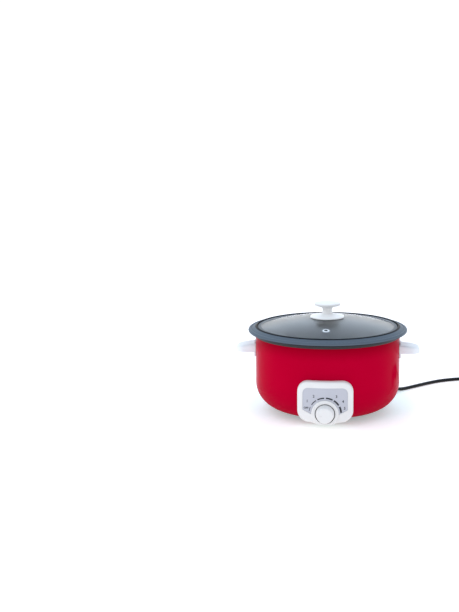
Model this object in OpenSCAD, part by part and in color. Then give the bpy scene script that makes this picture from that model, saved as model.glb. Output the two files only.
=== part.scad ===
// Electric cooking pot: a lift-out pan and a lift-off glass lid on a heated base.
// Millimetres. X is to the right, Y to the back and Z up.
// The floor is z = 0 and the control panel faces -Y.

/* [Base] */
// outer radius of the red shell
body_r = 131; // [127:1:136]
// sheet thickness of the red shell
shell_t = 1; // [0.8:0.1:1.4]
// radius of the rounded bottom corner
corner_r = 48; // [44:1:54]
// height of the room under the pan, from the shell's bottom
room_h = 68; // [64:1:74]
// height of the feet
foot_h = 6; // [4:0.5:9]
// radius of a foot
foot_r = 9; // [7:0.5:10]
// how far the feet's middles lie outside the flat of the shell's bottom
foot_out = 4; // [0:0.5:6]
// height of the black rim ring
ring_h = 7.5; // [6:0.5:10]

/* [Heater] */
// how far the heating plate's edge lies inside the flat of the pan's bottom
plate_in = 5.5; // [3:0.5:9]
// thickness of the heating plate
plate_t = 11; // [9:0.5:13]
// radius of the heater tube's ring
element_r = 58; // [50:1:64]
// radius of the heater tube
tube_r = 4; // [3:0.25:5]

/* [Pan] */
// how far the pan's wall lies in from the outside of the shell
pan_inset = 10.5; // [9:0.5:11.5]
// sheet thickness of the pan
pan_t = 2; // [1.5:0.1:2.5]
// radius of the pan's rounded bottom corner
pan_corner_r = 33; // [25:1:38]
// height of the pan from its bottom to the lid's seat
pan_h = 76; // [70:1:80]
// width of the pan's flange outside its lip
flange_w = 14.6; // [12:0.2:17]
// height of the lip above the lid's seat
lip_h = 7.5; // [6.5:0.5:9]

/* [Lid] */
// thickness of the glass
glass_t = 3; // [2.6:0.1:3.4]
// rise of the glass dome
glass_rise = 18.5; // [15:0.5:24]
// height of the band round the glass
band_h = 5.9; // [5.7:0.1:6.6]
// radius of the lid knob's foot
seat_r = 30.8; // [26:0.2:34]
// radius of the lid knob's grip
grip_r = 24; // [20:0.5:26]
// height of the lid knob over the glass
grip_h = 26.6; // [23:0.2:29]
// distance of the steam vent in from the edge of the glass
vent_in = 35.5; // [30:0.5:60]
// radius of the steam vent's bore
vent_r = 2.4; // [1.5:0.1:3]

/* [Control panel] */
// width of the panel housing
panel_w = 96; // [92:1:104]
// height of the panel housing
panel_h = 74.5; // [72:0.5:79]
// height of the housing's lowest point over the floor
panel_z = 10.5; // [8:0.5:12]
// how far the housing's face stands out of the shell
panel_out = 11; // [10:0.5:14]
// height of the control knob's axis
dial_z = 29.5; // [28:0.5:32]
// radius of the control knob
knob_r = 16.2; // [14:0.2:17]
// how far the control knob stands out of its collar
knob_out = 13; // [9:0.5:18]

/* [Handles] */
// width of a handle along the shell
handle_w = 44; // [42:1:60]
// how far a handle stands out of the shell
handle_out = 35.5; // [32:0.5:40]
// height of a handle's underside over the floor
handle_z = 108.5; // [104:0.5:111]
// radius of the handles' rounded tips
tip_r = 6; // [5:0.25:7]

/* [Cord] */
// diameter of the cord
cord_d = 6.6; // [6:0.1:7]
// direction in which the cord leaves, seen from above
cord_angle = 43.5; // [40:0.5:48]

/* [Clearances] */
// gap under a piece that rests on another body
rest_gap = 0.05; // [0.02:0.01:0.1]
// gap round a turning shaft
shaft_gap = 0.05; // [0.02:0.01:0.1]
// gap between pieces that are fixed together
fix_gap = 0.1; // [0.05:0.01:0.2]
// gap round the control knob in its collar
knob_gap = 1; // [0.6:0.1:1.4]

/* [Hidden] */
$fn = 96;
screw_r = 1.9;
head_r = 3.8;
pan_z = foot_h + room_h;
ring_top = pan_z + pan_h - 3;
shell_top = ring_top - 5;
corner_z = foot_h + corner_r;
flat_r = body_r - corner_r;
foot_at = flat_r + foot_out;
opening_r = flat_r - 20;
cover_screw_at = opening_r + 3;
// rim ring, liner and heating plate
liner_r = body_r - 5.4;
liner_t = 0.8;
liner_top = shell_top + 1;
liner_corner = 24;
pan_r = body_r - pan_inset;
plate_r = pan_r - pan_corner_r - plate_in;
plate_top = pan_z - rest_gap;
plate_z = plate_top - plate_t;
liner_z = plate_z - rest_gap - liner_t;
liner_hole = plate_r - 4;
leg_angles = [20, 160, 225, 315];
leg_x = flat_r - 1.2;
leg_screw_at = plate_r + 6;
// pan flange
seat_z = pan_z + pan_h;
lip_r = pan_r + 8.7;
lip_z = seat_z + lip_h;
flange_r = lip_r + flange_w;
flange_z = ring_top - 0.5;
bead_r = 3.2;
// lid
band_z = seat_z + rest_gap;
band_r = lip_r - pan_t - 1;
glass_r = band_r - 2.2;
glass_edge = band_z + band_h - 2.15;
dome_r = (glass_r * glass_r + glass_rise * glass_rise) / (2 * glass_rise);
dome_z = glass_edge + glass_rise - dome_r;
apex = glass_edge + glass_rise;
function dome(r) = dome_z + sqrt(dome_r * dome_r - r * r);
vent_at = glass_r - vent_in;
vent_tilt = asin(vent_at / dome_r);
knob_top = apex + grip_h;
gasket_r = seat_r - 6.2;
// control panel
face_r = body_r + panel_out;
panel_top = panel_z + panel_h;
panel_wall = 2.6;
collar_r = 23.5;
collar_in = knob_r + knob_gap;
collar_face = face_r + 2.6;
pocket_y = face_r - 2.5;
knob_y = pocket_y + 0.7;
knob_front = collar_face + knob_out;
screw_x = 36;
screw_z = 62;
screw_end = sqrt(pow(face_r - 1.5, 2) - pow(screw_x + screw_r, 2)) - 1.5;
panel_top_r = 21;
panel_low_r = 20;
panel_curve = 130;
panel_back = body_r - 30;
reg_y = flat_r - 18;
reg_w = 40;
reg_d = 26;
reg_h = 34;
reg_z = dial_z - 16.5;
lead_z = reg_z + reg_h + 3;
// handles
handle_x = body_r + 0.3;
handle_tip = body_r + handle_out;
handle_mid = handle_z + 7.5;
handle_in = body_r - 20;
handle_screw = 12.5;
handle_foot = handle_w / 2 - 1.5;
// cord: places along the cord's direction, from the shell outwards, and heights
block_y = flat_r - 24;
gland_z = foot_h + 15;
gland_end = 27;
sheath_in = 30;
gland_r = flat_r + sqrt(pow(corner_r, 2) - pow(corner_z - gland_z, 2));
cord_r = cord_d / 2;
floor_z = cord_r + 0.1;
coil_z = cord_r + 1.4;
coil_r = 42;
coil_pitch = cord_d + 0.8;
layer_h = cord_d + 0.6;
turns_in = 1.375;
turns = 2 * turns_in + 0.5;
coil_x = 242;
coil_y = 107;
tie_in = coil_r - coil_pitch * 2 - 4.5;
tie_out = coil_r + cord_r + 1.2;
tie_top = coil_z + layer_h + cord_r + 0.4;
plug_r = 19;
plug_turn = 212;

function dir(a) = [cos(a), sin(a), 0];
gland_at = [gland_r * cos(cord_angle), gland_r * sin(cord_angle), 0];
coil_at = gland_at + [coil_x, coil_y, 0];

// the cord's own frame: out along its direction, with heights over the floor
function out(d, z) = gland_at + d * dir(cord_angle) + [0, 0, z];
cord_points = [
    out(gland_end + 0.1, gland_z), out(gland_end + 7, gland_z - 0.6),
    out(43, gland_z - 3.5), out(56, 10), out(70, 5), out(88, floor_z), out(120, floor_z), out(150, floor_z),
    gland_at + [134, 124, floor_z], gland_at + [163, 139, floor_z],
    gland_at + [196, 147.5, floor_z + 0.4], coil_at + [-20, coil_r + 0.3, coil_z - 0.2],
    coil_at + [-cord_d, coil_r, coil_z]];
tail_points = [
    coil_at + [coil_r, -cord_d, coil_z + layer_h], coil_at + [coil_r, -14, coil_z + layer_h],
    coil_at + [coil_r - 2, -36, coil_z + layer_h + 2], coil_at + [coil_r - 12, -58, plug_r - 2],
    coil_at + [coil_r - 28, -76, plug_r], coil_at + [coil_r - 44, -86, plug_r]];
plug_at = coil_at + [coil_r - 44, -86, plug_r + 0.05];

// points along a smooth curve through the given points
function curve_point(p, i, t) =
    let (a = p[max(i - 1, 0)], b = p[i], c = p[i + 1], d = p[min(i + 2, len(p) - 1)])
    0.5 * (2 * b + (c - a) * t + (2 * a - 5 * b + 4 * c - d) * t * t
        + (3 * b - a - 3 * c + d) * t * t * t);
function curve(p, n) = concat(
    [for (i = [0 : len(p) - 2], k = [0 : n - 1]) curve_point(p, i, k / n)], [p[len(p) - 1]]);

// the coil: a spiral in on the floor, a climbing half turn and a spiral out on top
function coil_radius(u) = let (s = u - turns_in)
    coil_r - coil_pitch * turns_in
    + coil_pitch * (s < 0 ? -s : s > 0.5 ? s - 0.5 : -s + 2 * s * s);
function coil_height(u) = let (s = min(max((u - turns_in) / 0.5, 0), 1))
    coil_z + layer_h * s * s * (3 - 2 * s);
function coil_point(u) = coil_at
    + coil_radius(u) * dir(90 - 360 * u) + [0, 0, coil_height(u)];
coil_steps = 24 * turns;
coil_points = concat([coil_at + [-cord_d, coil_r, coil_z]],
    [for (i = [0 : coil_steps]) coil_point(i / 24)],
    [coil_at + [coil_r, -cord_d, coil_z + layer_h]]);
coil_gap = min([for (i = [0 : 2 : coil_steps - 14], j = [i + 14 : coil_steps])
    norm(coil_point(i / 24) - coil_point(j / 24))]) - cord_d;
echo(coil_gap = coil_gap);

// a tube of given radius along points
function unit(v) = v / norm(v);
function tube_rings(p, r, sides) = [for (i = [0 : len(p) - 1])
    let (t = unit(p[min(i + 1, len(p) - 1)] - p[max(i - 1, 0)]),
        side = unit(cross(t, abs(t[2]) > 0.9 ? [1, 0, 0] : [0, 0, 1])), up = cross(side, t))
    for (k = [0 : sides - 1]) p[i] + r * (side * cos(360 * k / sides) + up * sin(360 * k / sides))];
module tube(p, r, sides) {
    n = len(p);
    polyhedron(tube_rings(p, r, sides), concat(
        [[for (k = [0 : sides - 1]) k]],
        [for (i = [0 : n - 2], k = [0 : sides - 1]) let (m = (k + 1) % sides)
            [i * sides + k, (i + 1) * sides + k, (i + 1) * sides + m, i * sides + m]],
        [[for (k = [sides - 1 : -1 : 0]) (n - 1) * sides + k]]));
}

// a round section whose bottom corner is rounded, from the axis out
module bowl_section(r, z0, corner, z1) {
    translate([0, z0]) square([r - corner, z1 - z0]);
    translate([0, z0 + corner]) square([r, z1 - z0 - corner]);
    intersection() {
        translate([r - corner, z0 + corner]) circle(corner);
        translate([r - corner, z0]) square([corner, corner]);
    }
}

// a rectangle with four rounded corners
module round_rect(x0, z0, x1, z1, r) {
    translate([x0 + r, z0]) square([x1 - x0 - 2 * r, z1 - z0]);
    translate([x0, z0 + r]) square([x1 - x0, z1 - z0 - 2 * r]);
    for (x = [x0 + r, x1 - r], z = [z0 + r, z1 - r]) translate([x, z]) circle(r);
}

// the space inside the shell's outer face, grown by a gap
module shell_space(gap) {
    rotate_extrude() bowl_section(body_r + gap, foot_h - gap, corner_r + gap, shell_top + 40);
}

// a cylinder along -Y, from y0 to y1 in front of the axis
module front_rod(r, y0, y1, x = 0, z = dial_z) {
    translate([x, -y0, z]) rotate([90, 0, 0]) cylinder(r = r, h = y1 - y0);
}

module outer_shell() color("crimson") difference() {
    rotate_extrude() difference() {
        bowl_section(body_r, foot_h, corner_r, shell_top);
        bowl_section(body_r - shell_t, foot_h + shell_t, corner_r - shell_t, shell_top + 1);
        translate([0, foot_h - 1]) square([opening_r, 4]);
    }
    front_rod(6.6, flat_r, body_r + 5);
    for (x = [-screw_x, screw_x]) front_rod(screw_r + fix_gap, panel_back, body_r + 5, x, screw_z);
    for (s = [-1, 1], y = [-handle_screw, handle_screw]) translate([s * handle_in, y, handle_mid])
        rotate([0, s * 90, 0]) cylinder(r = screw_r + fix_gap, h = 30);
    for (a = [0 : 90 : 270]) rotate(a) translate([foot_at, 0, 0])
        cylinder(r = screw_r + fix_gap, h = 12);
    for (a = [45 : 90 : 315]) rotate(a) translate([cover_screw_at, 0, 0])
        cylinder(r = screw_r + fix_gap, h = 12);
    translate([0, 0, gland_z]) rotate([0, 90, cord_angle])
        cylinder(r = 6.2 + fix_gap, h = body_r + 10);
}

module rim_ring() color("dimgray") rotate_extrude() difference() {
    round_rect(liner_r - liner_t - 0.8, ring_top - ring_h, body_r + 1, ring_top, 1.6);
    translate([body_r - shell_t - fix_gap, ring_top - ring_h - 1])
        square([shell_t + 2 * fix_gap, shell_top + fix_gap - ring_top + ring_h + 1]);
    translate([liner_r - liner_t - fix_gap, ring_top - ring_h - 1])
        square([liner_t + 2 * fix_gap, liner_top + fix_gap - ring_top + ring_h + 1]);
}

module heat_shield() color("dimgray") difference() {
    rotate_extrude() difference() {
        bowl_section(liner_r, liner_z, liner_corner, liner_top);
        bowl_section(liner_r - liner_t, liner_z + liner_t, liner_corner - liner_t, liner_top + 1);
        translate([0, liner_z - 1]) square([liner_hole, 4]);
    }
    for (a = leg_angles) rotate(a) translate([leg_screw_at, 0, liner_z - 2])
        cylinder(r = screw_r + fix_gap, h = 6);
}

module heating_plate() color("silver") difference() {
    rotate_extrude() {
        translate([0, plate_z]) square([plate_r - 1.5, plate_t]);
        translate([0, plate_z]) square([plate_r, plate_t - 1.5]);
        translate([plate_r - 1.5, plate_top - 1.5]) circle(1.5);
    }
    rotate_extrude() translate([element_r, plate_z - 2.35]) circle(tube_r + rest_gap);
}

module heating_element() color("gray") {
    rotate_extrude(angle = 320, start = 110) translate([element_r, plate_z - 2.35]) circle(tube_r);
    for (a = [70, 110]) rotate(a) translate([element_r, 0, 0]) {
        translate([0, 0, plate_z - 2.7]) sphere(tube_r + 0.4);
        translate([0, 0, plate_z - 15]) cylinder(r = tube_r - 0.3, h = 13);
        translate([0, 0, plate_z - 24]) cylinder(r = 1.4, h = 10);
    }
}

module cut_out() color("ivory") {
    translate([0, 0, plate_z - 10]) cylinder(r = 8, h = 10 - rest_gap);
    translate([0, 0, plate_z - 2]) cylinder(r = 11, h = 2 - rest_gap);
    for (s = [-1, 1]) translate([s * 5 - 0.4, -3.2, plate_z - 17]) cube([0.8, 6.4, 8]);
}

module thermal_fuse() color("gold") translate([0, 32, plate_z - 5]) rotate([0, 90, 0]) {
    translate([0, 0, -7]) cylinder(r = 2.2, h = 14);
    translate([0, 0, -12]) cylinder(r = 0.6, h = 24);
}

module fuse_clip() color("silver") translate([-2.5, 0, 0]) {
    translate([0, 26, plate_z - 1.05]) cube([5, 12, 1]);
    translate([0, 28.7, plate_z - 8.3]) cube([5, 1, 7.8]);
    translate([0, 34.3, plate_z - 8.3]) cube([5, 1, 7.8]);
    translate([0, 28.7, plate_z - 8.3]) cube([5, 6.6, 1]);
}

module support_leg(a) color("lightgray") rotate(a) difference() {
    translate([0, -11, 0]) {
        translate([leg_x - 12.8, 0, foot_h + shell_t + rest_gap]) cube([14, 22, 1.2]);
        translate([leg_x, 0, foot_h + shell_t + rest_gap])
            cube([1.2, 22, liner_z - foot_h - shell_t - 2 * rest_gap]);
        translate([leg_x, 0, liner_z - 1.2 - rest_gap]) cube([leg_screw_at - leg_x + 5.8, 22, 1.2]);
    }
    translate([leg_screw_at, 0, liner_z - 4]) cylinder(r = screw_r + fix_gap, h = 6);
}

module leg_screws() color("silver") for (a = leg_angles) rotate(a) translate([leg_screw_at, 0, 0]) {
    translate([0, 0, liner_z + liner_t + rest_gap]) cylinder(r = head_r, h = 2.2);
    translate([0, 0, liner_z - 8]) cylinder(r = screw_r, h = 9);
}

module base_cover() color("dimgray") difference() {
    translate([0, 0, foot_h - 1 - rest_gap]) cylinder(r = opening_r + 6, h = 1);
    for (y = [-30 : 10 : 30]) translate([-22, y - 1.5, foot_h - 3]) cube([44, 3, 5]);
    for (a = [45 : 90 : 315]) rotate(a) translate([cover_screw_at, 0, 0])
        cylinder(r = screw_r + fix_gap, h = 12);
}

module cover_screws() color("silver") for (a = [45 : 90 : 315]) rotate(a) translate([cover_screw_at, 0, 0]) {
    translate([0, 0, foot_h - 3.2 - rest_gap]) cylinder(r = 2.9, h = 2.15);
    translate([0, 0, foot_h - 1.5]) cylinder(r = screw_r, h = 7);
}

module foot(a) color("dimgray") rotate(a) translate([foot_at, 0, 0]) difference() {
    cylinder(r1 = foot_r - 0.8, r2 = foot_r, h = foot_h - rest_gap);
    translate([0, 0, -1]) cylinder(r = head_r + 0.5, h = 3.6);
    cylinder(r = screw_r + fix_gap, h = 20);
}

module foot_screws() color("silver") for (a = [0 : 90 : 270]) rotate(a) translate([foot_at, 0, 0]) {
    translate([0, 0, 0.55]) cylinder(r = head_r, h = 2);
    translate([0, 0, 1.5]) cylinder(r = screw_r, h = foot_h + 4);
}

// the housing's outline as seen from the front, made smaller by an inset
module panel_outline(inset) {
    w = panel_w / 2 - inset;
    top = panel_top - inset;
    low = panel_z + inset;
    rt = panel_top_r - inset;
    rb = panel_low_r - inset;
    intersection() {
        union() {
            translate([-w, low + rb]) square([2 * w, top - low - rb - rt]);
            translate([rt - w, top - rt - 1]) square([2 * w - 2 * rt, rt + 1]);
            translate([rb - w, low]) square([2 * w - 2 * rb, rb + 1]);
            for (s = [-1, 1]) {
                translate([s * (w - rt), top - rt]) circle(rt);
                translate([s * (w - rb), low + rb]) circle(rb);
            }
        }
        translate([0, low + panel_curve]) circle(panel_curve);
    }
}

// a block along -Y with the given outline, from y0 to y1 in front of the axis
module front_block(y0, y1) translate([0, -y0, 0]) rotate([90, 0, 0]) linear_extrude(y1 - y0) children();

module control_housing() color("white") difference() {
    intersection() {
        front_block(panel_back - 2, face_r + 5) panel_outline(0);
        cylinder(r = face_r, h = 200);
    }
    difference() {
        intersection() {
            front_block(panel_back - 10, face_r + 5) panel_outline(panel_wall);
            cylinder(r = face_r - 3, h = 200);
        }
        front_rod(collar_r + 2.5, face_r - 6.5, face_r);
        for (x = [-screw_x, screw_x]) front_rod(4.5, panel_back + 10, face_r, x, screw_z);
    }
    shell_space(0.2);
    front_rod(collar_r + fix_gap, pocket_y, face_r + 5);
    front_rod(8, panel_back, face_r + 5);
    difference() {
        front_block(panel_back, face_r + 5) plate_outline(0.15);
        cylinder(r = face_r - 1.5, h = 200);
    }
    for (x = [-screw_x, screw_x]) front_rod(screw_r + fix_gap, panel_back, screw_end + 0.8, x, screw_z);
}

// the grey plate's outline as seen from the front, grown by a gap
module plate_outline(gap) {
    w = panel_w / 2 - 9.5 + gap;
    top = panel_top - 11 + gap;
    side = dial_z + 5.6 - gap;
    translate([-w, side]) square([2 * w, top - side - 10]);
    translate([10 - w, side]) square([2 * w - 20, top - side]);
    for (s = [-1, 1]) translate([s * (w - 10), top - 10]) circle(10);
    polygon([[-w, side + 1], [-w, side], [-23, dial_z - 1.9 - gap],
        [23, dial_z - 1.9 - gap], [w, side], [w, side + 1]]);
}

module dial_plate() color("lightsteelblue") difference() {
    intersection() {
        front_block(panel_back + 10, face_r + 5) plate_outline(0);
        cylinder(r = face_r - 0.6, h = 200);
    }
    cylinder(r = face_r - 1.5 + rest_gap, h = 200);
    front_rod(collar_r + fix_gap, panel_back, face_r + 5);
}

// the ring is cut off level with the housing's lower edge
module dial_collar() color("white") intersection() {
    translate([0, -pocket_y - rest_gap, dial_z]) rotate([90, 0, 0]) rotate_extrude()
        round_rect(collar_in, 0, collar_r, collar_face - pocket_y, 1.2);
    front_block(panel_back, face_r + 5) panel_outline(0.3);
}

module housing_screws() color("silver") for (x = [-screw_x, screw_x]) {
    y = sqrt(pow(body_r - shell_t, 2) - pow(screw_x + head_r, 2));
    front_rod(head_r, y - 2.4, y - 0.1, x, screw_z);
    front_rod(screw_r, y - 0.5, screw_end, x, screw_z);
}

module control_knob() color("white") difference() {
    union() {
        translate([0, -knob_y, dial_z]) rotate([90, 0, 0]) rotate_extrude() {
            h = knob_front - knob_y;
            square([knob_r - 5, h]);
            polygon([[0, 0], [knob_r, 0], [knob_r, 3.5], [knob_r - 2.5, h - 2], [knob_r - 5, h - 2.5]]);
            translate([knob_r - 5, h - 2.5]) intersection() {
                circle(2.5);
                square(5);
            }
        }
        front_rod(6.5, knob_y - 8, knob_y + 1);
    }
    front_rod(3, knob_y - 20, knob_front - 6);
    translate([-10.5, -knob_front - 1, dial_z - 0.6]) cube([6.5, 1.6, 1.2]);
}

module regulator_shaft() color("silver") front_rod(3, reg_y + 11, knob_front - 6.2);

module regulator_body() color("ivory") difference() {
    union() {
        translate([-reg_w / 2, -reg_y - reg_d, reg_z]) cube([reg_w, reg_d, reg_h]);
        front_rod(6, reg_y + reg_d - 1, body_r - 4);
        for (x = [-14, 0, 14]) translate([x - 3.2, -reg_y - 10.4, reg_z + reg_h - 1]) cube([6.4, 0.8, 7]);
    }
    front_rod(3 + shaft_gap, reg_y + 10, body_r);
}

module regulator_bracket() color("silver") {
    translate([-17, -reg_y - 16, foot_h + shell_t + rest_gap]) cube([34, 28, 1.2]);
    translate([-17, rest_gap - reg_y, foot_h + shell_t + rest_gap])
        cube([34, 1.2, reg_z + reg_h - 4 - foot_h - shell_t - rest_gap]);
}

// the right handle: an ear that is hollow from below, on a curved foot
module handle_right() color("white") difference() {
    union() {
        intersection() {
            linear_extrude(200) round_rect(handle_in - 10, -handle_w / 2, handle_tip, handle_w / 2, 16);
            translate([0, 60, 0]) rotate([90, 0, 0]) linear_extrude(120) handle_side(0);
        }
        intersection() {
            translate([handle_in, 0, 0]) rotate([90, 0, 90]) linear_extrude(40)
                round_rect(-handle_foot, handle_z - 9, handle_foot, handle_z + 18, 6);
            cylinder(r = handle_x + 2.5, h = 200);
        }
    }
    intersection() {
        linear_extrude(200) round_rect(handle_in, 3 - handle_w / 2, handle_tip - 3, handle_w / 2 - 3, 13);
        translate([0, 60, 0]) rotate([90, 0, 0]) linear_extrude(120) handle_side(3);
        translate([handle_x + 8.5, -60, 0]) cube([60, 120, 200]);
    }
    cylinder(r = handle_x, h = 200);
    for (y = [-handle_screw, handle_screw]) translate([handle_x - 10.3, y, handle_mid]) rotate([0, 90, 0])
        cylinder(r = screw_r + fix_gap, h = 16.5);
}

// the handle's outline as seen from the front, made smaller by an inset, open below
module handle_side(inset) {
    r = tip_r - inset;
    x = handle_tip - tip_r;
    low = handle_z - (inset > 0 ? 5 : 0);
    mid = handle_z + tip_r;
    translate([x, mid]) circle(r);
    edge = x + (inset > 0 ? r : 0);
    polygon([[handle_in, low], [edge, low], [edge, mid], [x + r * sin(7.5), mid + r * cos(7.5)],
        [handle_in, mid + r * cos(7.5) + (x + r * sin(7.5) - handle_in) * tan(7.5)]]);
}

module handle_left() mirror([1, 0, 0]) handle_right();

module handle_screws() color("silver") for (s = [0, 1]) mirror([s, 0, 0])
    for (y = [-handle_screw, handle_screw])
        translate([sqrt(pow(body_r - shell_t, 2) - pow(handle_screw + head_r, 2)) - 0.1, y, handle_mid])
        rotate([0, 90, 0]) {
            translate([0, 0, -2.3]) cylinder(r = head_r, h = 2.3);
            translate([0, 0, -1]) cylinder(r = screw_r, h = 9.2);
        }

module terminal_block() color("ivory") difference() {
    translate([-16, block_y, foot_h + shell_t + rest_gap]) cube([32, 18, 15]);
    for (x = [-10, 0, 10]) translate([x, block_y + 9, foot_h + 14]) cylinder(r = 2.4, h = 12);
}

module gland_axis(d) translate([0, 0, gland_z]) rotate([0, 90, cord_angle])
    translate([0, 0, gland_r + d]) children();

module cord_gland() color("dimgray") difference() {
    union() {
        difference() {
            gland_axis(-8) cylinder(r = 9.5, h = 16);
            shell_space(fix_gap);
        }
        gland_axis(-26) cylinder(r = 6.2, h = 32);
        gland_axis(7) cylinder(r1 = 6.2, r2 = 4.6, h = gland_end - 7);
        for (i = [0 : 3]) gland_axis(10 + 4 * i) cylinder(r = 6.6 - 0.3 * i, h = 2);
    }
    gland_axis(-40) cylinder(r = cord_r + fix_gap, h = 80);
}

module gland_nut() color("dimgray") gland_axis(-24) difference() {
    cylinder(r = 9, h = 4, $fn = 6);
    translate([0, 0, -1]) cylinder(r = 6.2 + fix_gap, h = 6);
}

// inner leads, and the cord's cores from the end of its sheath to the terminals
pin_z = plate_z - 24.95;
pin_x = element_r * cos(70);
pin_y = element_r * sin(70);
lead_points = [
    [[-10, block_y + 9, foot_h + 17], [-10, block_y + 9, foot_h + 24], [-30, block_y - 14, 30],
        [-30, 30 - reg_y, 34], [-16, 8 - reg_y, lead_z - 1], [-14, -reg_y - 3, lead_z],
        [-14, -reg_y - 9.3, lead_z]],
    [[14, -reg_y - 9.3, lead_z], [14, -reg_y - 3, lead_z], [16, 8 - reg_y, lead_z - 1], [30, 30 - reg_y, 40],
        [34, 20, pin_z - 2], [pin_x, pin_y, pin_z - 4], [pin_x, pin_y, pin_z]],
    [[0, block_y + 9, foot_h + 17], [0, block_y + 9, foot_h + 24], [-6, block_y + 4, pin_z - 4],
        [-pin_x, pin_y, pin_z - 4], [-pin_x, pin_y, pin_z]],
    [[10, block_y + 9, foot_h + 17], [10, block_y + 9, foot_h + 24], [24, block_y + 6, foot_h + 24],
        [48, block_y - 10, 24], (leg_x - 8) * dir(leg_angles[0] + 2) + [0, 0, 14],
        (leg_x - 5.5) * dir(leg_angles[0]) + [0, 0, foot_h + 2.5]]];
function core_start(side, up) = out(-sheath_in - 0.2, gland_z + up) + side * dir(cord_angle + 90);
core_points = [
    [core_start(-1.3, -0.9), out(-sheath_in - 18, 16.5) - 2.5 * dir(cord_angle + 90),
        [30, block_y - 20, 13], [8, block_y - 21.5, 13], [-6, block_y - 17, 13.5],
        [-10, block_y - 9, 14], [-10, block_y - 0.2, 14]],
    [core_start(0, 1.5), out(-sheath_in - 17, 19.5) - 0.5 * dir(cord_angle + 90),
        [32, block_y - 15.5, 16], [14, block_y - 16.5, 14.5], [3, block_y - 13, 14],
        [0, block_y - 7, 14], [0, block_y - 0.2, 14]],
    [core_start(1.3, -0.9), out(-sheath_in - 15, 17) + dir(cord_angle + 90),
        [34, block_y - 11, 14], [21, block_y - 11.5, 14], [12.5, block_y - 8.5, 14],
        [10, block_y - 4, 14], [10, block_y - 0.2, 14]]];
module core(i) tube(curve(core_points[i], 4), 1.1, 8);
module core_live() color("brown") core(0);
module core_neutral() color("royalblue") core(1);
module core_earth() color("green") core(2);
module lead(i) tube(curve(lead_points[i], 4), 1.2, 8);
module lead_live() color("brown") lead(0);
module lead_heater() color("brown") lead(1);
module lead_neutral() color("royalblue") lead(2);
module lead_earth() color("green") lead(3);

module cooking_pan() color("slategray") rotate_extrude() {
    run = flange_r - bead_r - lip_r + pan_t / 2;
    drop = lip_z - pan_t / 2 - flange_z - bead_r;
    difference() {
        bowl_section(pan_r, pan_z, pan_corner_r, seat_z);
        bowl_section(pan_r - pan_t, pan_z + pan_t, pan_corner_r - pan_t, seat_z + 1);
    }
    translate([pan_r - pan_t, seat_z - pan_t]) square([lip_r - pan_r + pan_t, pan_t]);
    translate([lip_r - pan_t, seat_z - pan_t]) square([pan_t, lip_h + pan_t / 2]);
    translate([lip_r - pan_t / 2, lip_z - pan_t / 2]) {
        circle(pan_t / 2);
        rotate(-atan2(drop, run)) translate([0, -pan_t / 2]) square([norm([run, drop]), pan_t]);
        translate([run, -drop]) circle(bead_r);
    }
}

// the glass in section, grown by a gap and cut at a radius
module glass_section(gap, r) intersection() {
    translate([0, dome_z]) difference() {
        circle(dome_r + gap, $fn = 400);
        circle(dome_r - glass_t - gap, $fn = 400);
    }
    translate([0, seat_z - 10]) square([r, 60]);
}

module lid_glass() color("lightblue", 0.5) difference() {
    rotate_extrude() glass_section(0, glass_r);
    translate([0, 0, apex - 20]) cylinder(r = 4, h = 40);
    translate([0, 0, dome_z]) rotate([vent_tilt, 0, 0]) translate([0, 0, dome_r - 20])
        cylinder(r = 4, h = 40);
}

module lid_band() color("gray") rotate_extrude() difference() {
    round_rect(glass_r - 4.4, band_z, band_r, band_z + band_h, 0.6);
    glass_section(rest_gap, glass_r + fix_gap);
}

module vent_grommet() color("silver") translate([0, 0, dome_z]) rotate([vent_tilt, 0, 0])
    translate([0, 0, dome_r]) rotate_extrude() {
        translate([vent_r, -glass_t - 0.9]) square([3.9 - vent_r, glass_t + 1.8]);
        round_rect(vent_r, 0.1, 6.2, 1.1, 0.45);
        round_rect(vent_r, -glass_t - 1.1, 6.2, -glass_t - 0.1, 0.45);
    }

module lid_gasket() color("whitesmoke") rotate_extrude()
    polygon([[4.2, dome(4.2) + 0.15], [gasket_r, dome(gasket_r) + 0.15], [gasket_r, apex + 1],
        [4.2, apex + 1]]);

module knob_seat() color("white") rotate_extrude() difference() {
    union() {
        round_rect(4.2, apex - 1.2, seat_r, apex + 2.2, 1.4);
        polygon([[4.2, apex + 1.5], [seat_r - 4, apex + 1.8], [16, apex + 4],
            [11.5, apex + 6.2], [4.2, apex + 6.2]]);
    }
    translate([0, apex - 3]) square([gasket_r + 0.3, 4.05]);
    translate([0, dome_z]) circle(dome_r + rest_gap, $fn = 400);
}

module knob_grip() color("white") difference() {
    rotate_extrude() {
        polygon([[0, apex + 6.2 + rest_gap], [10, apex + 6.2 + rest_gap], [9.4, apex + 9],
            [10.5, apex + 11.5], [grip_r - 3.5, knob_top - 6.2],
            [grip_r - 3.5, knob_top - 2.4], [0, knob_top - 2.4]]);
        round_rect(0.1, knob_top - 6.4, grip_r, knob_top - 1, 2.6);
        polygon([[0, knob_top - 2], [grip_r - 3.4, knob_top - 2], [grip_r - 4.4, knob_top - 0.9],
            [8, knob_top - 0.15], [0, knob_top]]);
    }
    translate([0, 0, apex]) cylinder(r = 2.5, h = 14);
}

module lid_screw() color("silver") {
    translate([0, 0, apex - glass_t - 4.2]) cylinder(r = 5.2, h = 2.6);
    translate([0, 0, apex - glass_t - 2.6]) cylinder(r = 2.45, h = glass_t + 15);
}

module lid_washer() color("silver") translate([0, 0, apex - glass_t - 1.5]) difference() {
    cylinder(r = 9, h = 1.2);
    translate([0, 0, -1]) cylinder(r = 2.6, h = 4);
}

module cord_inner() color("dimgray") gland_axis(-sheath_in) cylinder(r = cord_r, h = sheath_in + gland_end);
module cord_lead() color("dimgray") tube(curve(cord_points, 3), cord_r, 10);
module cord_coil() color("dimgray") tube(coil_points, cord_r, 6);
module cord_tail() color("dimgray") tube(curve(tail_points, 3), cord_r, 10);

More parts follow.
